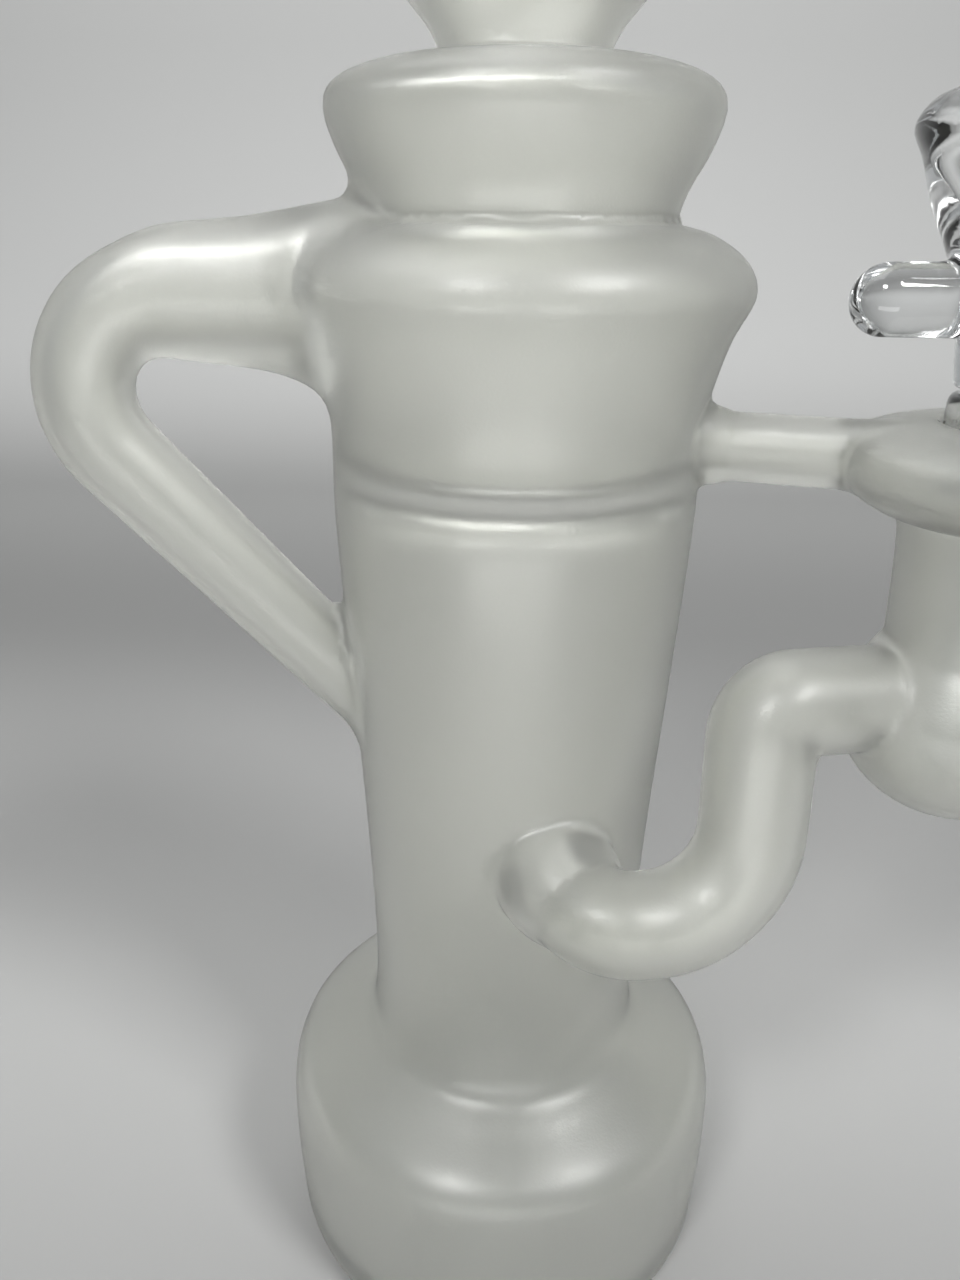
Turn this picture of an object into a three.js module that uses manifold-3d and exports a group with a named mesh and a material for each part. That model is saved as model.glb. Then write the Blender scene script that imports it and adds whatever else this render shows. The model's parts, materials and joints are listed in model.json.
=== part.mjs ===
// A blown-glass recycler water pipe with an S-bend side tube, in millimetres, +Z up.
// The origin is the centre of the foot's underside, on the axis of the column.
// The arm leaves the column towards -X, the side chamber stands towards +X, and -Y is the front.
import * as THREE from "three";
import { mergeVertices } from "three/addons/utils/BufferGeometryUtils.js";
import Module from "manifold-3d";

const wasm = await Module();
wasm.setup();

// ---------------------------------------------------------------- driving dimensions
const WALL = 2.6; // glass wall of the column, its rings and the mouthpiece
const SIDE_WALL = 2.3; // glass wall of the side chamber
const TUBE_WALL = 2.2; // glass wall of the arm, the bridge and the S-bend
const GAP = 0.3; // clearance between a part and the neighbour that cuts it
const TURN_STEPS = 20; // facets around a round part
const SMALL_TURN_STEPS = 16;

const FOOT = { thickness: 6, underside: 39, edge: 41.2 };
const BASE = { radius: 42.1, top: 36, domeBottom: 31, domeTop: 47, neckHeight: 50, neckRadius: 24.8 };
const COLUMN = { neckTop: 78, top: 161, topRadius: 28.5 };
const SHOULDER = { bottom: 168, radius: 33.9, height: 178.5 };
const CREASE = { radius: 22, height: 187.8 };
const CROWN = { radius: 27.4, height: 201.4, top: 207.4 };
const MOUTH = { neckRadius: 11.7, lipRadius: 19, top: 225.5 };
const DIVIDER = { height: 149.5, thickness: 2.4 };

const ARM = { azimuth: 190, radius: 8, height: 178.2, reach: 78.6, bend: 14.2, slope: 49.9 };
const ARM_CUTS = [0.225, 0.504]; // shares of the arm's route where its bend starts and ends
const SIDE = { azimuth: -15, distance: 70 };
const BRIDGE = { radius: 5, height: 158, start: 22, end: 54, steps: 2 };
const S_BEND = { radius: 7.9, lowRun: 91.5, highRun: 124.3, frontBend: 9, lowBend: 15, highBend: 8.5 };
const S_BEND_CUTS = [0.283, 0.62]; // shares of the S-bend's route between its three turns
const ROUTE_STEPS = 20; // sections along a whole bent route
const ARM_SEAL = { from: 0.93, to: 1, grow: 2 };
const BRIDGE_SEAL = { from: 0.05, to: 0.3, grow: 1.8 };
const S_BEND_SEAL = { from: 0, to: 0.09, grow: 2.6 };

const BULB = { bottom: 104.6, radius: 16.8, middle: 120 };
const SIDE_NECK = { bottom: 132, bottomRadius: 12.1, top: 150.2, topRadius: 13.3 };
const SIDE_RING = { radius: 22.2, height: 157.6, top: 163.6 };
const SOCKET = { outer: 9.6, bottom: 153.5, top: 167.3 };
const GROUND = { radius: 7.25, taper: 0.05, length: 12 };
const DOWNSTEM = { outer: 4.4, inner: 2.8, bottom: 109, slotWidth: 1.6, slotHeight: 9, slots: 4 };

const BOWL = { bottom: 167.7, waist: 9.8, rim: 19.5, rimHeight: 199.2, top: 203.4 };
const CUP = { mouth: 12.6, bottom: 186, hole: 2.4, bore: 4.4 };
const HANDLE = { radius: 4.5, height: 179.2, reach: 26, azimuth: 186 };

const FROSTED = { color: 0xc9cbc2, roughness: 0.55, metalness: 0 };
const CLEAR = { color: 0xe6ecec, roughness: 0.05, metalness: 0 };

// ---------------------------------------------------------------- solids
const point = (r, z) => new THREE.Vector2(r, z);

function toSolid(geometry) {
  const bare = geometry.clone();
  bare.deleteAttribute("normal");
  bare.deleteAttribute("uv");
  const merged = mergeVertices(bare, 1e-4);
  const mesh = new wasm.Mesh({
    numProp: 3,
    vertProperties: merged.attributes.position.array,
    triVerts: new Uint32Array(merged.index.array),
  });
  return new wasm.Manifold(mesh);
}

function toGeometry(solid) {
  const mesh = solid.getMesh();
  const geometry = new THREE.BufferGeometry();
  geometry.setAttribute("position", new THREE.BufferAttribute(mesh.vertProperties, 3));
  geometry.setIndex(new THREE.BufferAttribute(mesh.triVerts, 1));
  geometry.computeVertexNormals();
  return geometry;
}

// A solid of revolution about Z. The outline runs counter-clockwise in the (r, z) plane.
function turned(outline, steps = TURN_STEPS) {
  return new THREE.LatheGeometry(outline, steps).rotateX(Math.PI / 2);
}

// A round rod, or a tube when it has a bore, swept along a curve.
function swept(curve, radius, bore = 0, steps = 18, sides = 16) {
  const section = new THREE.Shape().absarc(0, 0, radius, 0, 2 * Math.PI);
  if (bore > 0) section.holes.push(new THREE.Path().absarc(0, 0, bore, 0, 2 * Math.PI, true));
  const options = { steps, extrudePath: curve, bevelEnabled: false, curveSegments: sides / 2 };
  return new THREE.ExtrudeGeometry(section, options);
}

// A route of straight runs joined by arcs: each corner is a point with its bend radius.
function route(start, corners, end) {
  const points = [start];
  corners.forEach(({ at, bend }, i) => {
    const before = i ? corners[i - 1].at : start;
    const after = corners[i + 1] ? corners[i + 1].at : end;
    const back = before.clone().sub(at).normalize();
    const on = after.clone().sub(at).normalize();
    const half = back.angleTo(on) / 2;
    const centre = back.clone().add(on).normalize().multiplyScalar(bend / Math.sin(half)).add(at);
    const from = back.multiplyScalar(bend / Math.tan(half)).add(at).sub(centre);
    const to = on.multiplyScalar(bend / Math.tan(half)).add(at).sub(centre);
    const axis = from.clone().cross(to).normalize();
    const sweep = from.angleTo(to);
    const pieces = Math.max(3, Math.round(sweep / 0.25));
    for (let k = 0; k <= pieces; k++) {
      points.push(from.clone().applyAxisAngle(axis, (sweep * k) / pieces).add(centre));
    }
  });
  points.push(end);
  return new THREE.CatmullRomCurve3(points, false, "centripetal");
}

// The length of a curve between two shares of its route.
class Stretch extends THREE.Curve {
  constructor(whole, from, to) {
    super();
    Object.assign(this, { whole, from, to });
  }

  getPoint(t, target) {
    return this.whole.getPointAt(this.from + (this.to - this.from) * t, target);
  }

  getTangent(t, target) {
    return this.whole.getTangentAt(this.from + (this.to - this.from) * t, target);
  }
}

// ---------------------------------------------------------------- outlines
// The curve that lies a wall's thickness inside an outline that runs upwards.
function inset(outline, wall) {
  return outline.map((p, i) => {
    const before = outline[Math.max(i - 1, 0)];
    const after = outline[Math.min(i + 1, outline.length - 1)];
    const along = after.clone().sub(before).normalize();
    return point(Math.max(p.x - along.y * wall, 0), p.y + along.x * wall);
  });
}

// The stretch of a rising outline between two heights, with its ends cut square.
function stretch(outline, low, high) {
  const at = (z) => {
    const i = outline.findIndex((p) => p.y >= z);
    if (i <= 0) return outline[i === 0 ? 0 : outline.length - 1].clone();
    const [a, b] = [outline[i - 1], outline[i]];
    return point(a.x + ((b.x - a.x) * (z - a.y)) / (b.y - a.y), z);
  };
  const between = outline.filter((p) => p.y > low + 0.2 && p.y < high - 0.2);
  const first = at(low);
  const last = at(high);
  return [point(first.x, low), ...between, point(last.x, high)];
}

const smooth = (points, pieces) => new THREE.SplineCurve(points).getSpacedPoints(pieces);

const baseAndColumn = smooth(
  [
    point(FOOT.underside, 0),
    point(FOOT.edge, 2.4),
    point(BASE.radius - 0.4, FOOT.thickness + 2),
    point(BASE.radius, 20),
    point(BASE.radius - 0.5, 32),
    point(BASE.radius - 3.4, BASE.top + 1.5),
    point(30.4, 42.6),
    point(26, 45.8),
    point(BASE.neckRadius, BASE.neckHeight + 2),
    point(BASE.neckRadius - 0.2, 66),
    point(25.5, 91),
    point(27, 118),
    point(COLUMN.topRadius - 0.1, 145),
    point(COLUMN.topRadius, COLUMN.top),
    point(31, 172),
    point(SHOULDER.radius, SHOULDER.height),
    point(32.3, 183),
    point(27.4, 186.4),
    point(CREASE.radius, CREASE.height),
  ],
  30,
);
const crown = smooth(
  [
    point(CREASE.radius, CREASE.height + 0.1),
    point(23.2, 191.8),
    point(25.8, 196.6),
    point(CROWN.radius, CROWN.height),
    point(26.3, CROWN.top - 2.9),
    point(21.5, CROWN.top - 0.9),
    point(14, CROWN.top),
    point(MOUTH.neckRadius, CROWN.top + 1),
  ],
  10,
);
const mouth = smooth(
  [
    point(MOUTH.neckRadius + 0.1, CROWN.top + 1.2),
    point(13.1, 211.6),
    point(15.6, 214.5),
    point(17.8, 217.4),
    point(MOUTH.lipRadius, 221.5),
    point(MOUTH.lipRadius, MOUTH.top),
  ],
  6,
);
const vesselOutline = [...baseAndColumn, ...crown, ...mouth];
const vesselInside = inset(vesselOutline, WALL);

const bulbPoints = [0, 25, 50, 75, 100, 125].map((degrees) => {
  const turn = THREE.MathUtils.degToRad(degrees);
  return point(BULB.radius * Math.sin(turn), BULB.middle - (BULB.middle - BULB.bottom) * Math.cos(turn));
});
const sideOutline = smooth(
  [
    ...bulbPoints,
    point(SIDE_NECK.bottomRadius + 0.2, SIDE_NECK.bottom - 0.8),
    point(SIDE_NECK.bottomRadius, SIDE_NECK.bottom + 1.6),
    point(SIDE_NECK.topRadius, SIDE_NECK.top - 0.4),
    point(17, SIDE_NECK.top + 1.3),
    point(21.1, 154.2),
    point(SIDE_RING.radius, SIDE_RING.height),
    point(20.6, 161.4),
    point(15.5, SIDE_RING.top - 0.4),
    point(SOCKET.outer + GAP, SIDE_RING.top),
  ],
  22,
);
const sideInside = inset(sideOutline, SIDE_WALL);

// A ring of wall between two heights, open at both ends.
function wallRing(outside, inside, low, high, steps = TURN_STEPS) {
  const loop = [...stretch(outside, low, high), ...stretch(inside, low, high).reverse()];
  return toSolid(turned([...loop, loop[0].clone()], steps));
}

// The filled shape of an outline, grown by the gap, which cuts whatever meets the outside of it.
function filled(outline, steps = TURN_STEPS) {
  const grown = inset(outline, -GAP);
  const bottom = grown[0];
  const top = grown[grown.length - 1];
  const rim = grown.slice(bottom.x > 0 ? 0 : 1);
  return toSolid(turned([point(0, bottom.y), ...rim, point(0, top.y)], steps));
}

// ---------------------------------------------------------------- routes of the tubes
const direction = (degrees) => {
  const turn = THREE.MathUtils.degToRad(degrees);
  return new THREE.Vector3(Math.cos(turn), Math.sin(turn), 0);
};
const armSide = direction(ARM.azimuth);
const armPoint = (r, z) => armSide.clone().multiplyScalar(r).setZ(z);
const armSlope = Math.tan(THREE.MathUtils.degToRad(ARM.slope));
const armEnd = 22; // both ends of the arm's route lie inside the column's wall
const armRoute = route(
  armPoint(armEnd, ARM.height),
  [{ at: armPoint(ARM.reach, ARM.height), bend: ARM.bend }],
  armPoint(armEnd, ARM.height - (ARM.reach - armEnd) * armSlope),
);

const sideCentre = direction(SIDE.azimuth).multiplyScalar(SIDE.distance);
const bridgeSide = direction(SIDE.azimuth);
const bridgeRoute = new THREE.LineCurve3(
  bridgeSide.clone().multiplyScalar(BRIDGE.start).setZ(BRIDGE.height),
  bridgeSide.clone().multiplyScalar(BRIDGE.end).setZ(BRIDGE.height),
);

const bendStart = new THREE.Vector3(5.6, -18.6, S_BEND.lowRun + 1.5);
const bendFront = new THREE.Vector3(13.2, -35.5, S_BEND.lowRun);
const bendLow = new THREE.Vector3(36.4, -30.5, S_BEND.lowRun - 0.5);
const bendHigh = new THREE.Vector3(36.8, -25.5, S_BEND.highRun);
const bendEnd = new THREE.Vector3(sideCentre.x - 8, sideCentre.y - 0.6, S_BEND.highRun - 1);
const bendRoute = route(
  bendStart,
  [
    { at: bendFront, bend: S_BEND.frontBend },
    { at: bendLow, bend: S_BEND.lowBend },
    { at: bendHigh, bend: S_BEND.highBend },
  ],
  bendEnd,
);

// ---------------------------------------------------------------- the pieces
const part = new THREE.Group();
part.name = "recycler";
const sideGroup = new THREE.Group();
sideGroup.position.copy(sideCentre);
part.add(sideGroup);

function place(name, geometry, finish, group = part) {
  const mesh = new THREE.Mesh(geometry, new THREE.MeshStandardMaterial(finish));
  mesh.name = name;
  group.add(mesh);
}

const bodyEnvelope = filled(vesselOutline);
const sideEnvelope = filled(sideOutline).translate([sideCentre.x, sideCentre.y, 0]);
const bore = (curve, radius, steps) => toSolid(swept(curve, radius - TUBE_WALL, 0, steps, 12));
const armBore = bore(armRoute, ARM.radius, ROUTE_STEPS);
const bridgeBore = bore(bridgeRoute, BRIDGE.radius, BRIDGE.steps);
const bendBore = bore(bendRoute, S_BEND.radius, ROUTE_STEPS);

function columnPieces() {
  const footTop = stretch(vesselOutline, 0, FOOT.thickness);
  const foot = turned([point(0, 0), ...footTop, point(0, FOOT.thickness)]);
  place("foot_disc", foot, FROSTED);
  const cuts = [
    ["base_wall", FOOT.thickness, BASE.domeBottom],
    ["base_dome", BASE.domeBottom, BASE.domeTop],
    ["column_neck", BASE.domeTop, COLUMN.neckTop],
    ["lower_column", COLUMN.neckTop, DIVIDER.height],
    ["upper_column", DIVIDER.height, SHOULDER.bottom],
    ["shoulder_ring", SHOULDER.bottom, CREASE.height],
    ["crown_ring", CREASE.height, CROWN.top + 1.1],
    ["mouthpiece", CROWN.top + 1.1, MOUTH.top],
  ];
  for (const [name, low, high] of cuts) {
    const ring = wallRing(vesselOutline, vesselInside, low, high);
    place(name, toGeometry(ring.subtract(armBore).subtract(bridgeBore).subtract(bendBore)), FROSTED);
  }
  const plateTop = DIVIDER.height + DIVIDER.thickness;
  const innerRadii = stretch(vesselInside, DIVIDER.height, plateTop).map((p) => p.x);
  const plateRadius = Math.min(...innerRadii) - GAP;
  const plate = [
    point(0, DIVIDER.height),
    point(plateRadius, DIVIDER.height),
    point(plateRadius, plateTop),
    point(0, plateTop),
  ];
  place("divider_plate", turned(plate), FROSTED);
}

// A tube, between two shares of its route, cut where it meets the column and the side chamber.
function weldedTube(name, curve, radius, steps, from = 0, to = 1) {
  const tube = toSolid(swept(new Stretch(curve, from, to), radius, radius - TUBE_WALL, steps));
  place(name, toGeometry(tube.subtract(bodyEnvelope).subtract(sideEnvelope)), FROSTED);
}

// The thickened ring of glass, between two shares of a tube's route, where the tube meets a wall.
function seal(name, curve, radius, { from, to, grow }) {
  const sleeve = toSolid(swept(new Stretch(curve, from, to), radius + grow, 0, 3));
  const tube = toSolid(swept(curve, radius + GAP, 0, ROUTE_STEPS));
  place(name, toGeometry(sleeve.subtract(tube).subtract(bodyEnvelope).subtract(sideEnvelope)), FROSTED);
}

function sidePieces() {
  const toSide = (solid) => solid.translate([-sideCentre.x, -sideCentre.y, 0]);
  const bulbLoop = [
    ...stretch(sideOutline, BULB.bottom, SIDE_NECK.bottom),
    ...stretch(sideInside, BULB.bottom + SIDE_WALL, SIDE_NECK.bottom).reverse(),
  ];
  bulbLoop[0].setX(0);
  bulbLoop[bulbLoop.length - 1].setX(0);
  const bulb = toSolid(turned(bulbLoop)).subtract(toSide(bendBore));
  place("side_bulb", toGeometry(bulb), FROSTED, sideGroup);
  const neck = wallRing(sideOutline, sideInside, SIDE_NECK.bottom, SIDE_NECK.top);
  place("side_neck", toGeometry(neck), FROSTED, sideGroup);
  const lid = SIDE_RING.top - SIDE_WALL;
  const ringLoop = [
    ...stretch(sideOutline, SIDE_NECK.top, SIDE_RING.top),
    point(SOCKET.outer + GAP, lid),
    ...stretch(sideInside, SIDE_NECK.top, lid).reverse(),
  ];
  const ring = toSolid(turned([...ringLoop, ringLoop[0].clone()])).subtract(toSide(bridgeBore));
  place("side_ring", toGeometry(ring), FROSTED, sideGroup);
}

// The socket's ground bore narrows downwards, and the bowl's ground stem has the same taper.
const groundRadius = (z) => GROUND.radius - (SOCKET.top - z) * GROUND.taper;

function jointPieces() {
  const groundEnd = SOCKET.top - GROUND.length;
  const socket = [
    point(DOWNSTEM.inner, SOCKET.bottom),
    point(SOCKET.outer - 3, SOCKET.bottom),
    point(SOCKET.outer, SOCKET.bottom + 2.4),
    point(SOCKET.outer, SOCKET.top - 0.8),
    point(SOCKET.outer - 0.8, SOCKET.top),
    point(groundRadius(SOCKET.top) + GAP, SOCKET.top),
    point(groundRadius(groundEnd) + GAP, groundEnd - 0.4),
    point(DOWNSTEM.inner, groundEnd - 0.4),
  ];
  place("joint_socket", turned([...socket, socket[0].clone()], SMALL_TURN_STEPS), FROSTED, sideGroup);
  const tube = [
    point(DOWNSTEM.inner, DOWNSTEM.bottom),
    point(DOWNSTEM.outer, DOWNSTEM.bottom),
    point(DOWNSTEM.outer, SOCKET.bottom - GAP),
    point(DOWNSTEM.inner, SOCKET.bottom - GAP),
  ];
  let downstem = toSolid(turned([...tube, tube[0].clone()], SMALL_TURN_STEPS));
  for (let i = 0; i < DOWNSTEM.slots / 2; i++) {
    const across = 2 * DOWNSTEM.outer + 2;
    const slot = new THREE.BoxGeometry(across, DOWNSTEM.slotWidth, DOWNSTEM.slotHeight);
    slot.rotateZ((i * 2 * Math.PI) / DOWNSTEM.slots);
    slot.translate(0, 0, DOWNSTEM.bottom + DOWNSTEM.slotHeight / 2 - 1);
    downstem = downstem.subtract(toSolid(slot));
  }
  place("downstem", toGeometry(downstem), FROSTED, sideGroup);
}

function bowlPieces() {
  const stemTop = BOWL.bottom - GAP;
  const stemBottom = SOCKET.top - GROUND.length;
  const stem = [
    point(CUP.bore, stemBottom),
    point(groundRadius(stemBottom), stemBottom),
    point(groundRadius(SOCKET.top), SOCKET.top),
    point(groundRadius(SOCKET.top), stemTop),
    point(CUP.bore, stemTop),
  ];
  place("bowl_stem", turned([...stem, stem[0].clone()], SMALL_TURN_STEPS), CLEAR, sideGroup);

  const outside = smooth(
    [
      point(BOWL.waist - 0.6, BOWL.bottom),
      point(BOWL.waist, 171.5),
      point(10.6, 177.5),
      point(12.9, 184),
      point(15.9, 190),
      point(BOWL.rim - 1.6, 195.6),
      point(BOWL.rim, BOWL.rimHeight),
      point(17.6, 202.3),
      point(14.6, BOWL.top),
    ],
    12,
  );
  const hollow = [
    point(CUP.mouth, BOWL.top - 1),
    point(CUP.mouth - 0.8, 199),
    point(CUP.hole + 1.4, CUP.bottom + 1),
    point(CUP.hole, CUP.bottom - 1),
    point(CUP.hole, CUP.bottom - 4),
    point(CUP.bore, CUP.bottom - 8),
    point(CUP.bore, BOWL.bottom),
  ];
  const loop = [...outside, ...hollow];
  const head = toSolid(turned([...loop, loop[0].clone()], SMALL_TURN_STEPS));
  place("bowl_head", toGeometry(head), CLEAR, sideGroup);

  const along = direction(HANDLE.azimuth);
  const inner = along.clone().multiplyScalar(7).setZ(HANDLE.height);
  const outer = along.clone().multiplyScalar(HANDLE.reach - HANDLE.radius).setZ(HANDLE.height);
  const rod = toSolid(swept(new THREE.LineCurve3(inner, outer), HANDLE.radius, 0, 1, 16));
  const tip = toSolid(new THREE.SphereGeometry(HANDLE.radius, 16, 12).translate(outer.x, outer.y, outer.z));
  const grown = [point(0, BOWL.bottom - 1), ...inset(outside, -GAP), point(0, BOWL.top + 1)];
  const handle = rod.add(tip).subtract(toSolid(turned(grown, SMALL_TURN_STEPS)));
  place("bowl_handle", toGeometry(handle), CLEAR, sideGroup);
}

columnPieces();
const [armRun, armDrop] = ARM_CUTS;
weldedTube("arm_top_run", armRoute, ARM.radius, 2, 0, armRun);
weldedTube("arm_bend", armRoute, ARM.radius, 10, armRun, armDrop);
weldedTube("arm_lower_run", armRoute, ARM.radius, 2, armDrop, 1);
weldedTube("bridge_tube", bridgeRoute, BRIDGE.radius, BRIDGE.steps);
const [frontEnd, lowEnd] = S_BEND_CUTS;
weldedTube("s_bend_foot", bendRoute, S_BEND.radius, 8, 0, frontEnd);
weldedTube("s_bend_low_turn", bendRoute, S_BEND.radius, 8, frontEnd, lowEnd);
weldedTube("s_bend_high_turn", bendRoute, S_BEND.radius, 10, lowEnd, 1);
seal("s_bend_seal", bendRoute, S_BEND.radius, S_BEND_SEAL);
seal("bridge_seal", bridgeRoute, BRIDGE.radius, BRIDGE_SEAL);
seal("arm_lower_seal", armRoute, ARM.radius, ARM_SEAL);
sidePieces();
jointPieces();
bowlPieces();

export default part;
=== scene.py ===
"""The looks of a sandblasted recycler water pipe with a clear bowl.

Each glass piece is a solid given by a signed distance in millimetres, and is meshed on a grid.
The column, side chamber and bowl repeat the CAD part's outlines, with the welds melted together.
The arm, the S-bend's upper corner, the divider's height and the tubes' walls differ from the CAD part.
"""

import json
import math

import bpy
import numpy as np
from mathutils import Matrix, Vector

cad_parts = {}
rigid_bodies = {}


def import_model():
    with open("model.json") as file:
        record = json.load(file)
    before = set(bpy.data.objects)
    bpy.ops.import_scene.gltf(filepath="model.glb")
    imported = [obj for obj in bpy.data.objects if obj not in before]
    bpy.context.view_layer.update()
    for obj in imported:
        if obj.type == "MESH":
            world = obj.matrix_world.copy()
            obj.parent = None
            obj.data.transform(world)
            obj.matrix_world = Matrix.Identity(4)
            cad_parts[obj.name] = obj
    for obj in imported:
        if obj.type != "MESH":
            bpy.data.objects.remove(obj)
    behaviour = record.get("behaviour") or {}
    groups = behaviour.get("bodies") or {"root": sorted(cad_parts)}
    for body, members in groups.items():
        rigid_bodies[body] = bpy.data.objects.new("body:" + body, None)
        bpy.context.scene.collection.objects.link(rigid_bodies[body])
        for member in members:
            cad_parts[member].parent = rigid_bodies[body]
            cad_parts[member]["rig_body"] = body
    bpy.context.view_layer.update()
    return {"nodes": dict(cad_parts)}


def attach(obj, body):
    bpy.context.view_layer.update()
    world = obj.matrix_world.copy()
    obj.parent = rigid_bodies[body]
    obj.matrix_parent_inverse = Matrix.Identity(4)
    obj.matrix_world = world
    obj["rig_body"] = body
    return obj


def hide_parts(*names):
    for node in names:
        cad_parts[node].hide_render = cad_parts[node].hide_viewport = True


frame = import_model()

MM = 0.001

# ---------------------------------------------------------------- driving dimensions, mm
WALL = 2.6  # of every hollow section
FOOT = {"thickness": 6.0, "underside": 39.0, "edge": 41.2}
BASE = {"radius": 42.1, "top": 36.0, "neck_height": 50.0, "neck_radius": 24.8}
COLUMN = {"top": 161.0, "top_radius": 28.5}
SHOULDER = {"radius": 33.9, "height": 178.5}
CREASE = {"radius": 22.0, "height": 187.8}
CROWN = {"radius": 27.4, "height": 201.4, "top": 207.4}
MOUTH = {"neck_radius": 11.7, "lip_radius": 19.0, "top": 225.5}
DIVIDER = {"height": 150.7, "thickness": 2.4}  # the height of its lower face

ARM = {"azimuth": 190, "height": 178.2, "reach": 79.4, "bend": 13.6, "slope": 49.2, "end": 22.0}
ARM_RADII = (8.4, 7.1, 6.2)  # at its top weld, at the bend and at its lower weld
FLARE = {"start": 24, "end": 46, "rise": 0.03, "radii": (11.4, 9.4, 7.4)}  # the arm's wide top end
SIDE = {"azimuth": -15, "distance": 70.0}
BRIDGE = {"radius": 5.0, "height": 158.0}
S_BEND = {"radius": 7.9, "low": 91.5, "high": 124.3}

BULB = {"bottom": 104.6, "radius": 16.8, "middle": 120.0}
SIDE_NECK = {"bottom": 132.0, "bottom_radius": 12.1, "top": 150.2, "top_radius": 13.3}
SIDE_RING = {"radius": 22.2, "height": 157.6, "top": 163.6}
SOCKET = {"outer": 9.6, "bottom": 153.5, "top": 167.3}
GROUND = {"radius": 7.25, "taper": 0.05, "length": 12.0, "gap": 0.3}
DOWNSTEM = {"outer": 4.4, "inner": 2.8, "bottom": 109.0, "slot": 1.6, "slot_height": 9.0}
BOWL = {"bottom": 167.7, "waist": 9.8, "rim": 19.5, "rim_height": 199.2, "top": 203.4}
CUP = {"mouth": 12.6, "bottom": 186.0, "hole": 2.4, "bore": 4.4}
HANDLE = {"radius": 4.5, "height": 179.2, "reach": 26.0, "azimuth": 186}


# ---------------------------------------------------------------- curves
def direction(degrees):
    turn = math.radians(degrees)
    return np.array([math.cos(turn), math.sin(turn), 0.0])


def spline(points, per_span=10):
    """A smooth curve through the points."""
    p = np.array(points, float)
    rows = [p[0]]
    for i in range(len(p) - 1):
        before = p[max(i - 1, 0)]
        a, b = p[i], p[i + 1]
        after = p[min(i + 2, len(p) - 1)]
        leave, arrive = (b - before) / 2, (after - a) / 2
        for t in np.linspace(0, 1, per_span + 1)[1:]:
            rows.append(
                (2 * t**3 - 3 * t**2 + 1) * a
                + (t**3 - 2 * t**2 + t) * leave
                + (3 * t**2 - 2 * t**3) * b
                + (t**3 - t**2) * arrive
            )
    return np.array(rows)


def route(start, corners, end):
    """Straight runs joined by arcs: each corner is a point and its bend radius."""
    stops = [np.array(start, float)] + [np.array(c, float) for c, _ in corners] + [np.array(end, float)]
    rows = [stops[0]]
    for i, (_, bend) in enumerate(corners, start=1):
        at = stops[i]
        back, on = stops[i - 1] - at, stops[i + 1] - at
        back, on = back / np.linalg.norm(back), on / np.linalg.norm(on)
        half = math.acos(float(back @ on)) / 2
        centre = at + (back + on) / np.linalg.norm(back + on) * bend / math.sin(half)
        first = at + back * bend / math.tan(half) - centre
        last = at + on * bend / math.tan(half) - centre
        sweep = math.pi - 2 * half
        pieces = max(6, round(sweep / 0.08))
        for k in range(pieces + 1):
            t = k / pieces
            arm = (math.sin((1 - t) * sweep) * first + math.sin(t * sweep) * last) / math.sin(sweep)
            rows.append(centre + arm)
    rows.append(stops[-1])
    return np.array(rows)


# ---------------------------------------------------------------- signed distances, mm
TABLE_STEP = 0.4
FAR = 14.0
EDGE_PASSES = 6  # how often a table is blurred, which rounds the edges and creases of its outline


def turned(outline, centre=(0.0, 0.0)):
    """The distance to a solid of revolution whose outline starts and ends on its axis."""
    outline = np.array(outline, float)
    low, high = outline[:, 1].min() - FAR, outline[:, 1].max() + FAR
    r = np.arange(0, outline[:, 0].max() + FAR, TABLE_STEP)
    z = np.arange(low, high, TABLE_STEP)
    rr, zz = np.meshgrid(r, z, indexing="ij")
    nearest = np.full(rr.shape, 1e9)
    crossings = np.zeros(rr.shape, int)
    for (ra, za), (rb, zb) in zip(outline[:-1], outline[1:]):
        dr, dz = rb - ra, zb - za
        t = np.clip(((rr - ra) * dr + (zz - za) * dz) / max(dr * dr + dz * dz, 1e-12), 0, 1)
        nearest = np.minimum(nearest, np.hypot(rr - ra - t * dr, zz - za - t * dz))
        if za != zb:
            between = (zz >= min(za, zb)) & (zz < max(za, zb))
            crossings += between & (ra + (zz - za) * dr / dz > rr)
    table = np.where(crossings % 2 == 1, -nearest, nearest)
    for _ in range(EDGE_PASSES):
        inner = table[1:-1, 1:-1] * 2
        inner += (table[:-2, 1:-1] + table[2:, 1:-1] + table[1:-1, :-2] + table[1:-1, 2:]) / 2
        table[1:-1, 1:-1] = inner / 4

    def field(p):
        u = np.hypot(p[:, 0] - centre[0], p[:, 1] - centre[1]) / TABLE_STEP
        v = (p[:, 2] - low) / TABLE_STEP
        u = np.clip(u, 0, len(r) - 1.001)
        v = np.clip(v, 0, len(z) - 1.001)
        i, j = u.astype(int), v.astype(int)
        a, b = u - i, v - j
        return (1 - a) * ((1 - b) * table[i, j] + b * table[i, j + 1]) + a * (
            (1 - b) * table[i + 1, j] + b * table[i + 1, j + 1]
        )

    return field


def tube(path, radii):
    """The distance to a round rod along a path, with a radius at each of its points."""
    path, radii = np.array(path, float), np.array(radii, float)
    low = path.min(0) - radii.max() - FAR
    high = path.max(0) + radii.max() + FAR

    def field(p):
        made = np.full(len(p), FAR)
        near = np.all((p > low) & (p < high), axis=1)
        q = p[near]
        best = np.full(len(q), FAR)
        for a, b, ra, rb in zip(path[:-1], path[1:], radii[:-1], radii[1:]):
            ab = b - a
            t = np.clip((q - a) @ ab / max(ab @ ab, 1e-12), 0, 1)
            away = np.linalg.norm(q - a - t[:, None] * ab, axis=1)
            best = np.minimum(best, away - (ra + t * (rb - ra)))
        made[near] = best
        return made

    return field


def melt(a, b, k):
    """The union of two distances, with a fillet of about k."""
    h = np.clip(0.5 + 0.5 * (b - a) / k, 0, 1)
    return b + (a - b) * h - k * h * (1 - h)


def carve(a, b, k):
    """What two distances have in common, with the edge rounded by about k."""
    return -melt(-a, -b, k)


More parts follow.
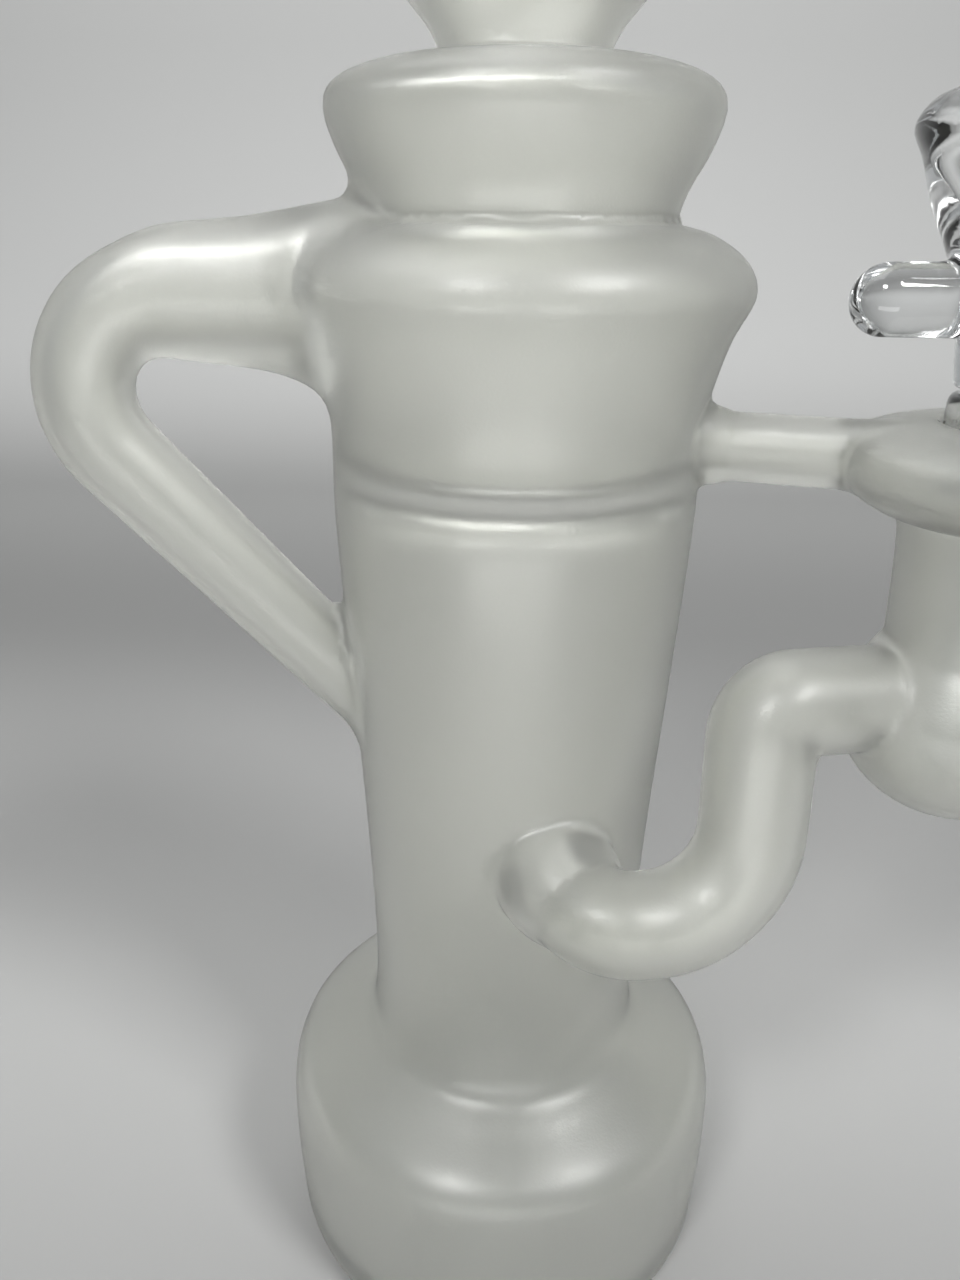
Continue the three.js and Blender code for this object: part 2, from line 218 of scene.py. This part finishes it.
def along(path):
    """The length from a path's start to each of its points."""
    steps = np.linalg.norm(np.diff(path, axis=0), axis=1)
    return np.concatenate([[0], np.cumsum(steps)])


# ---------------------------------------------------------------- outlines, (r, z)
body_outline = spline(
    [
        (FOOT["underside"], 0),
        (FOOT["edge"], 2.4),
        (BASE["radius"] - 0.4, FOOT["thickness"] + 2),
        (BASE["radius"], 20),
        (BASE["radius"] - 0.5, 32),
        (BASE["radius"] - 3.4, BASE["top"] + 1.5),
        (30.4, 42.6),
        (26, 45.8),
        (BASE["neck_radius"], BASE["neck_height"] + 2),
        (BASE["neck_radius"] - 0.2, 66),
        (25.5, 91),
        (27, 118),
        (COLUMN["top_radius"] - 0.1, 145),
        (COLUMN["top_radius"], COLUMN["top"]),
        (31, 172),
        (SHOULDER["radius"], SHOULDER["height"]),
        (32.3, 183),
        (27.4, 186.4),
        (CREASE["radius"], CREASE["height"]),
    ]
)
crown_outline = spline(
    [
        (CREASE["radius"], CREASE["height"] + 0.1),
        (23.2, 191.8),
        (25.8, 196.6),
        (CROWN["radius"], CROWN["height"]),
        (26.3, CROWN["top"] - 2.9),
        (21.5, CROWN["top"] - 0.9),
        (14, CROWN["top"]),
        (MOUTH["neck_radius"], CROWN["top"] + 1),
        (13.1, 211.6),
        (15.6, 214.5),
        (17.8, 217.4),
        (MOUTH["lip_radius"], 221.5),
        (MOUTH["lip_radius"], MOUTH["top"]),
        (MOUTH["lip_radius"], MOUTH["top"] + 9),
    ]
)
vessel_outline = [(0, 0), *body_outline, *crown_outline, (0, MOUTH["top"] + 9)]

bulb_points = [
    (
        BULB["radius"] * math.sin(math.radians(a)),
        BULB["middle"] - (BULB["middle"] - BULB["bottom"]) * math.cos(math.radians(a)),
    )
    for a in (0, 25, 50, 75, 100, 125)
]
side_outline = [
    *spline(
        bulb_points
        + [
            (SIDE_NECK["bottom_radius"] + 0.2, SIDE_NECK["bottom"] - 0.8),
            (SIDE_NECK["bottom_radius"], SIDE_NECK["bottom"] + 1.6),
            (SIDE_NECK["top_radius"], SIDE_NECK["top"] - 0.4),
            (17, SIDE_NECK["top"] + 1.3),
            (21.1, 154.2),
            (SIDE_RING["radius"], SIDE_RING["height"]),
            (20.6, 161.4),
            (15.5, SIDE_RING["top"] - 0.4),
            (SOCKET["outer"], SIDE_RING["top"]),
        ]
    ),
    (0, SIDE_RING["top"]),
]
side_centre = direction(SIDE["azimuth"]) * SIDE["distance"]

# ---------------------------------------------------------------- routes of the tubes
arm_side = direction(ARM["azimuth"])
arm_drop = (ARM["reach"] - ARM["end"]) * math.tan(math.radians(ARM["slope"]))
arm_route = route(
    arm_side * ARM["end"] + (0, 0, ARM["height"]),
    [(arm_side * ARM["reach"] + (0, 0, ARM["height"]), ARM["bend"])],
    arm_side * ARM["end"] + (0, 0, ARM["height"] - arm_drop),
)
bridge_side = direction(SIDE["azimuth"])
bridge_route = np.array([bridge_side * r + (0, 0, BRIDGE["height"]) for r in np.linspace(22, 54, 17)])
bend_route = route(
    (5.6, -18.6, S_BEND["low"] + 1.5),
    [
        ((13.2, -35.5, S_BEND["low"]), 9),
        ((36.4, -30.5, S_BEND["low"] - 0.5), 15),
        ((36.8, -25.5, S_BEND["high"]), 5),
    ],
    (side_centre[0] - 8, side_centre[1] - 0.6, S_BEND["high"] - 1),
)
arm_length = along(arm_route)
arm_radii = np.interp(arm_length / arm_length[-1], (0.1, 0.38, 0.95), ARM_RADII)
flare_reach = np.linspace(FLARE["start"], FLARE["end"], 12)
flare_route = np.array(
    [arm_side * r + (0, 0, ARM["height"] + FLARE["rise"] * (r - FLARE["end"])) for r in flare_reach]
)
flare_radii = np.interp(np.arange(12) / 11, (0, 0.5, 1), FLARE["radii"])


def beaded(path, radius, start, width, grow):
    """The path made finer near its start, and its radii with a bead of weld there."""
    lengths = along(path)
    extra = np.linspace(start - width, start + width, 13)
    at = np.unique(np.concatenate([lengths, extra[(extra > 0) & (extra < lengths[-1])]]))
    fine = np.stack([np.interp(at, lengths, path[:, k]) for k in range(3)], axis=1)
    bump = np.clip(1 - ((at - start) / width) ** 2, 0, 1) ** 1.5
    return fine, radius + grow * bump


arm_outer = tube(arm_route, arm_radii)
arm_bore = tube(arm_route, arm_radii - WALL)
flare_outer = tube(flare_route, flare_radii)
bridge_outer = tube(*beaded(bridge_route, BRIDGE["radius"], 6.6, 3.0, 0.9))
bridge_bore = tube(bridge_route, np.full(len(bridge_route), BRIDGE["radius"] - WALL))
bend_outer = tube(*beaded(bend_route, S_BEND["radius"], 6.5, 6.0, 2.1))
bend_bore = tube(bend_route, np.full(len(bend_route), S_BEND["radius"] - WALL))
body_raw = turned(vessel_outline)
side_raw = turned(side_outline, side_centre)


# ---------------------------------------------------------------- the fused vessel
def vessel_outer(p):
    z = p[:, 2]
    body = carve(body_raw(p), z - MOUTH["top"], 2.0)
    made = melt(body, arm_outer(p), 3.0 + 5.0 * np.clip((z - 140) / 30, 0, 1))
    made = melt(made, flare_outer(p), 7.0)
    made = melt(made, bend_outer(p), 2.6)
    made = melt(made, bridge_outer(p), 1.6)
    return melt(made, side_raw(p), 1.4)


def vessel_cavity(p):
    z = p[:, 2]
    body = carve(body_raw(p) + WALL, FOOT["thickness"] - z, 3.0)
    plate = np.abs(z - DIVIDER["height"] - DIVIDER["thickness"] / 2) - DIVIDER["thickness"] / 2
    made = carve(body, -plate, 6.0)
    made = melt(made, arm_bore(p), 2.0)
    made = melt(made, bend_bore(p), 1.5)
    side = melt(side_raw(p) + WALL, bend_bore(p), 1.5)
    out = np.hypot(p[:, 0] - side_centre[0], p[:, 1] - side_centre[1])
    hole = np.maximum(out - SOCKET["outer"] - 0.1, SOCKET["bottom"] - z)
    side = np.minimum(side, hole)
    return melt(np.minimum(made, side), bridge_bore(p), 1.0)


def vessel_glass(p):
    return carve(vessel_outer(p), -vessel_cavity(p), 1.2)


# ---------------------------------------------------------------- joint, downstem and bowl
def from_axis(p):
    return np.hypot(p[:, 0] - side_centre[0], p[:, 1] - side_centre[1])


def ground_radius(z):
    return GROUND["radius"] - (SOCKET["top"] - z) * GROUND["taper"]


def joint_glass(p):
    """The female joint and the slotted downstem that hangs from it."""
    z, out = p[:, 2], from_axis(p)
    socket = carve(out - SOCKET["outer"], np.maximum(z - SOCKET["top"], SOCKET["bottom"] - z), 1.6)
    stem = np.maximum(out - DOWNSTEM["outer"], np.maximum(z - SOCKET["bottom"] - 2, DOWNSTEM["bottom"] - z))
    made = melt(socket, stem, 2.0)
    ground = carve(
        out - ground_radius(z) - GROUND["gap"],
        SOCKET["top"] - GROUND["length"] - 0.4 - z,
        0.8,
    )
    cavity = np.minimum(ground, out - DOWNSTEM["inner"])
    made = carve(made, -cavity, 0.8)
    half = DOWNSTEM["slot"] / 2
    top = z - DOWNSTEM["bottom"] - DOWNSTEM["slot_height"]
    for k in (0, 1):
        slot = np.maximum(np.abs(p[:, k] - side_centre[k]) - half, top)
        made = np.maximum(made, -slot)
    return made


bowl_outline = [
    (0, BOWL["bottom"]),
    *spline(
        [
            (BOWL["waist"] - 0.6, BOWL["bottom"]),
            (BOWL["waist"], 171.5),
            (10.6, 177.5),
            (12.9, 184),
            (15.9, 190),
            (BOWL["rim"] - 1.6, 195.6),
            (BOWL["rim"], BOWL["rim_height"]),
            (17.6, 202.3),
            (14.6, BOWL["top"]),
        ]
    ),
    (0, BOWL["top"]),
]
hollow_outline = [
    (0, BOWL["bottom"] - 6),
    (CUP["bore"], BOWL["bottom"] - 6),
    *spline(
        [
            (CUP["bore"], BOWL["bottom"]),
            (CUP["bore"], CUP["bottom"] - 8),
            (CUP["hole"] + 0.3, CUP["bottom"] - 4.6),
            (CUP["hole"], CUP["bottom"] - 1),
            (CUP["hole"] + 1.8, CUP["bottom"] + 1),
            (8.2, 192.3),
            (CUP["mouth"] - 1, 197.8),
            (CUP["mouth"], BOWL["top"] - 1),
            (CUP["mouth"] + 0.8, BOWL["top"] + 3),
        ]
    ),
    (0, BOWL["top"] + 3),
]
bowl_raw = turned(bowl_outline, side_centre)
hollow_raw = turned(hollow_outline, side_centre)
handle_side = direction(HANDLE["azimuth"])
handle_ends = (7, HANDLE["reach"] - HANDLE["radius"])
handle_raw = tube(
    [side_centre + handle_side * r + (0, 0, HANDLE["height"]) for r in handle_ends],
    [HANDLE["radius"] + 0.2, HANDLE["radius"]],
)


def bowl_glass(p):
    """The bowl's head with its handle."""
    outer = melt(bowl_raw(p), handle_raw(p), 2.2)
    outer = carve(outer, BOWL["bottom"] - p[:, 2], 0.8)
    return carve(outer, -hollow_raw(p), 1.4)


def stem_glass(p):
    """The bowl's ground stem."""
    z, out = p[:, 2], from_axis(p)
    ends = np.maximum(z - BOWL["bottom"] + 0.3, SOCKET["top"] - GROUND["length"] - z)
    outer = carve(out - np.minimum(ground_radius(z), GROUND["radius"]), ends, 0.5)
    return carve(outer, CUP["bore"] - out, 0.5)


# ---------------------------------------------------------------- meshing
def net(field, low, high, step):
    """The zero surface of a field: its vertices and its quads, by surface nets on a grid."""
    axes = [np.arange(a, b + step, step) for a, b in zip(low, high)]
    shape = tuple(len(a) for a in axes)
    grid = np.stack(np.meshgrid(*axes, indexing="ij"), axis=-1).reshape(-1, 3)
    values = np.concatenate([field(part) for part in np.array_split(grid, max(1, len(grid) // 200000))])
    values = values.reshape(shape)
    total = np.zeros((values.size, 3))
    count = np.zeros(values.size)
    strides = np.array([shape[1] * shape[2], shape[2], 1])
    quads = []
    for axis in range(3):
        one, two = (axis + 1) % 3, (axis + 2) % 3
        lower = np.take(values, range(shape[axis] - 1), axis)
        upper = np.take(values, range(1, shape[axis]), axis)
        at = np.argwhere((lower < 0) != (upper < 0))
        inner = (at[:, one] > 0) & (at[:, two] > 0)
        at = at[inner]
        f0, f1 = lower[tuple(at.T)], upper[tuple(at.T)]
        crossing = at.astype(float)
        crossing[:, axis] += f0 / (f0 - f1)
        ring = []
        for d1, d2 in ((1, 1), (0, 1), (0, 0), (1, 0)):
            cell = at.copy()
            cell[:, one] -= d1
            cell[:, two] -= d2
            flat = cell @ strides
            for k in range(3):
                total[:, k] += np.bincount(flat, crossing[:, k], values.size)
            count += np.bincount(flat, minlength=values.size)
            ring.append(flat)
        ring = np.stack(ring, axis=1)
        quads.append(np.where((f0 < 0)[:, None], ring, ring[:, ::-1]))
    quads = np.concatenate(quads)
    used = np.nonzero(count)[0]
    number = np.full(values.size, -1)
    number[used] = np.arange(len(used))
    vertices = total[used] / count[used][:, None] * step + np.array([a[0] for a in axes])
    return vertices, number[quads]


def slope(field, p, reach=0.05):
    """A field's value and gradient."""
    value = field(p)
    rows = []
    for k in range(3):
        shifted = p.copy()
        shifted[:, k] += reach
        rows.append((field(shifted) - value) / reach)
    return value, np.stack(rows, axis=1)


def solid(name, field, low, high, step):
    """A closed mesh of a field's zero surface, with the field's own normals."""
    vertices, quads = net(field, low, high, step)
    for _ in range(3):
        value, gradient = slope(field, vertices)
        size = np.maximum((gradient**2).sum(1), 0.05)
        move = np.clip(value / size, -0.4 * step, 0.4 * step)
        vertices -= move[:, None] * gradient
    normals = slope(field, vertices)[1]
    normals /= np.maximum(np.linalg.norm(normals, axis=1, keepdims=True), 1e-9)
    mesh = bpy.data.meshes.new(name)
    mesh.from_pydata((vertices * MM).tolist(), [], quads.tolist())
    mesh.polygons.foreach_set("use_smooth", [True] * len(mesh.polygons))
    mesh.normals_split_custom_set_from_vertices(normals.tolist())
    thing = bpy.data.objects.new(name, mesh)
    bpy.context.scene.collection.objects.link(thing)
    return thing, vertices, quads


def stand_for(thing, body, slot, *nodes):
    """Puts a piece on its body and in place of its CAD nodes."""
    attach(thing, body)
    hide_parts(*nodes)


# ---------------------------------------------------------------- materials
CLOUD_SCALE = 60  # how fine the patches of roughness are
GRAIN_SCALE = 2500  # how fine the sandblasted grain is
FROST_ROUGHNESS = (0.36, 0.46)


def glass(name, color, transmission, roughness):
    """A glass material, and what its node tree needs to be built further."""
    material = bpy.data.materials.new(name)
    material.use_nodes = True
    tree = material.node_tree
    shader = next(n for n in tree.nodes if n.type == "BSDF_PRINCIPLED")
    shader.inputs["Base Color"].default_value = (*color, 1)
    shader.inputs["Roughness"].default_value = roughness
    shader.inputs["IOR"].default_value = 1.47
    shader.inputs["Transmission Weight"].default_value = transmission
    return material, tree, shader


def noise(tree, scale, detail):
    """A noise texture in the object's own space."""
    place = tree.nodes.new("ShaderNodeTexCoord")
    texture = tree.nodes.new("ShaderNodeTexNoise")
    texture.inputs["Scale"].default_value = scale
    texture.inputs["Detail"].default_value = detail
    tree.links.new(place.outputs["Object"], texture.inputs["Vector"])
    return texture.outputs["Fac"]


def spread(tree, fac, low, high):
    """A noise value mapped to a range."""
    mapped = tree.nodes.new("ShaderNodeMapRange")
    mapped.inputs["From Min"].default_value = 0.3
    mapped.inputs["From Max"].default_value = 0.7
    mapped.inputs["To Min"].default_value = low
    mapped.inputs["To Max"].default_value = high
    tree.links.new(fac, mapped.inputs["Value"])
    return mapped.outputs["Result"]


def frosted(name):
    """Sandblasted glass: a rough surface of uneven roughness with a fine grain."""
    material, tree, shader = glass(name, (0.965, 0.97, 0.92), 0.93, 0.36)
    cloudy = noise(tree, CLOUD_SCALE, 3)
    tree.links.new(spread(tree, cloudy, *FROST_ROUGHNESS), shader.inputs["Roughness"])
    bump = tree.nodes.new("ShaderNodeBump")
    bump.inputs["Strength"].default_value = 0.282
    bump.inputs["Distance"].default_value = 0.0001
    tree.links.new(noise(tree, GRAIN_SCALE, 2), bump.inputs["Height"])
    tree.links.new(bump.outputs["Normal"], shader.inputs["Normal"])
    return material


FROSTED = frosted("frosted_glass")
SMOOTH = glass("smooth_glass", (0.985, 0.99, 0.96), 0.95, 0.16)[0]
CLEAR = glass("clear_glass", (0.97, 0.98, 0.98), 1.0, 0.05)[0]
GROUND_GLASS = glass("ground_glass", (0.93, 0.94, 0.93), 0.9, 0.35)[0]


def dress(thing, outside, inside, cavity=None, outer=None, vertices=None, quads=None):
    """Gives the outside one material, and the faces nearer the cavity another."""
    thing.data.materials.append(outside)
    thing.data.materials.append(inside)
    if cavity is not None:
        inner = np.abs(cavity(vertices)) < np.abs(outer(vertices))
        index = (inner[quads].mean(1) > 0.5).astype(np.int32)
        thing.data.polygons.foreach_set("material_index", index)


# ---------------------------------------------------------------- the pieces
vessel, points, quads = solid("vessel_glass", vessel_glass, (-72, -45, -2.1), (92, 45, 227.5), 1.4)
dress(vessel, FROSTED, SMOOTH, vessel_cavity, vessel_outer, points, quads)
joint_nodes = ("joint_socket", "downstem")
vessel_nodes = [name for name, node in frame["nodes"].items() if node["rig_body"] == "vessel"]
fused_nodes = [name for name in vessel_nodes if name not in joint_nodes]
stand_for(vessel, "vessel", "frosted_glass", *fused_nodes)

cx, cy = side_centre[0], side_centre[1]
joint_low, joint_high = (cx - 12, cy - 12, 107), (cx + 12, cy + 12, 169)
joint = solid("joint_and_downstem", joint_glass, joint_low, joint_high, 0.8)[0]
dress(joint, CLEAR, CLEAR)
stand_for(joint, "vessel", "frosted_glass", *joint_nodes)

stem_low, stem_high = (cx - 10, cy - 10, 151), (cx + 10, cy + 10, 169)
stem = solid("bowl_stem_glass", stem_glass, stem_low, stem_high, 0.7)[0]
dress(stem, GROUND_GLASS, CLEAR)
stand_for(stem, "bowl_joint", "clear_glass", "bowl_stem")

bowl_low, bowl_high = (cx - 27, cy - 22, 166), (cx + 22, cy + 22, 205)
bowl = solid("bowl_glass", bowl_glass, bowl_low, bowl_high, 0.8)[0]
dress(bowl, CLEAR, CLEAR)
stand_for(bowl, "bowl", "clear_glass", "bowl_head", "bowl_handle")


# ---------------------------------------------------------------- floor, backdrop and lights
def ramp(tree, value, span, stops):
    """A grey that follows a value through the stops, each a place in the span and a grey."""
    share = tree.nodes.new("ShaderNodeMapRange")
    share.inputs["From Min"].default_value, share.inputs["From Max"].default_value = span
    tree.links.new(value, share.inputs["Value"])
    colours = tree.nodes.new("ShaderNodeValToRGB")
    colours.color_ramp.interpolation = "EASE"
    while len(colours.color_ramp.elements) < len(stops):
        colours.color_ramp.elements.new(0.5)
    for element, (place, grey) in zip(colours.color_ramp.elements, stops):
        element.position = (place - span[0]) / (span[1] - span[0])
        element.color = (grey, grey, grey * 0.985, 1)
    tree.links.new(share.outputs["Result"], colours.inputs["Fac"])
    return colours.outputs["Color"]


# Places along Y in metres, each with a painted grey. This is painted light and shade: lightest near the
# object, darker towards the front, a dark band of painted shade across the floor behind the object, and a
# lighter wall.
BACKDROP_PAINTED_SHADE = [(-0.06, 0.28), (0.03, 0.37), (0.14, 0.32), (0.3, 0.23), (0.56, 0.33), (0.8, 0.6)]


def backdrop():
    """A pale sweep: a floor that curves up into a wall, its grey painted with light and shade along Y."""
    depth, rise, bend, width = 0.55, 1.6, 0.35, 3.0
    rows = [(-1.2, 0.0), (depth, 0.0)]
    for k in range(1, 13):
        turn = math.pi / 2 * k / 12
        rows.append((depth + bend * math.sin(turn), bend * (1 - math.cos(turn))))
    rows.append((depth + bend, rise))
    vertices = [(x, y, z) for y, z in rows for x in (-width, width)]
    faces = [(2 * i, 2 * i + 1, 2 * i + 3, 2 * i + 2) for i in range(len(rows) - 1)]
    mesh = bpy.data.meshes.new("backdrop")
    mesh.from_pydata(vertices, [], faces)
    mesh.polygons.foreach_set("use_smooth", [True] * len(faces))
    sweep = bpy.data.objects.new("backdrop", mesh)
    bpy.context.scene.collection.objects.link(sweep)
    paper = bpy.data.materials.new("backdrop_paper_painted_shade")
    paper.use_nodes = True
    tree = paper.node_tree
    shader = next(n for n in tree.nodes if n.type == "BSDF_PRINCIPLED")
    shader.inputs["Roughness"].default_value = 0.7
    place = tree.nodes.new("ShaderNodeTexCoord")
    parts = tree.nodes.new("ShaderNodeSeparateXYZ")
    tree.links.new(place.outputs["Object"], parts.inputs["Vector"])
    # Painted light and shade: the grey follows Y, with a dark band of painted shade behind the object and a
    # lighter wall.
    painted_shade = ramp(tree, parts.outputs["Y"], (-0.2, 1.0), BACKDROP_PAINTED_SHADE)
    tree.links.new(painted_shade, shader.inputs["Base Color"])
    mesh.materials.append(paper)


backdrop()


def area_light(name, at, target, size, power):
    """A soft rectangular light that faces its target and isn't seen itself."""
    lamp = bpy.data.lights.new(name, "AREA")
    lamp.shape = "RECTANGLE"
    lamp.size, lamp.size_y = size
    lamp.energy = power
    thing = bpy.data.objects.new(name, lamp)
    thing.location = at
    thing.rotation_euler = (Vector(target) - Vector(at)).to_track_quat("-Z", "Y").to_euler()
    thing.visible_camera = False
    bpy.context.scene.collection.objects.link(thing)


bpy.context.scene.view_settings.view_transform = "Standard"
MIDDLE = (0.0, 0.0, 0.11)
area_light("right_window", (0.5, -0.45, 0.85), MIDDLE, (0.24, 0.24), 6.8)
area_light("left_window", (-0.3, -0.6, 0.8), MIDDLE, (0.2, 0.2), 4.6)
area_light("table_glow", (0.0, -0.32, 0.02), (0, 0, 0.14), (0.4, 0.12), 0.6)
area_light("top", (-0.25, 0.25, 1.2), MIDDLE, (1.0, 0.7), 5)

world = bpy.data.worlds.new("world")
bpy.context.scene.world = world
world.use_nodes = True
world.node_tree.nodes["Background"].inputs["Color"].default_value = (0.9, 0.93, 0.95, 1)
world.node_tree.nodes["Background"].inputs["Strength"].default_value = 0.36

# ---------------------------------------------------------------- camera
EYE = (0, -0.150, 0.18665)
PITCH, ROLL, YAW = (math.radians(a) for a in (23.125, 0.629, -1.99))
ahead = Vector((math.sin(YAW) * math.cos(PITCH), math.cos(YAW) * math.cos(PITCH), -math.sin(PITCH)))
level = Vector((math.cos(YAW), -math.sin(YAW), 0))
upward = level.cross(ahead)
right = level * math.cos(ROLL) + upward * math.sin(ROLL)
up = upward * math.cos(ROLL) - level * math.sin(ROLL)
lens = bpy.data.cameras.new("camera")
lens.lens = 26.93
lens.sensor_width = 36
lens.clip_start = 0.005
camera = bpy.data.objects.new("camera", lens)
turn = Matrix((right, up, -ahead)).transposed().to_4x4()
camera.matrix_world = Matrix.Translation(EYE) @ turn
bpy.context.scene.collection.objects.link(camera)
bpy.context.scene.camera = camera
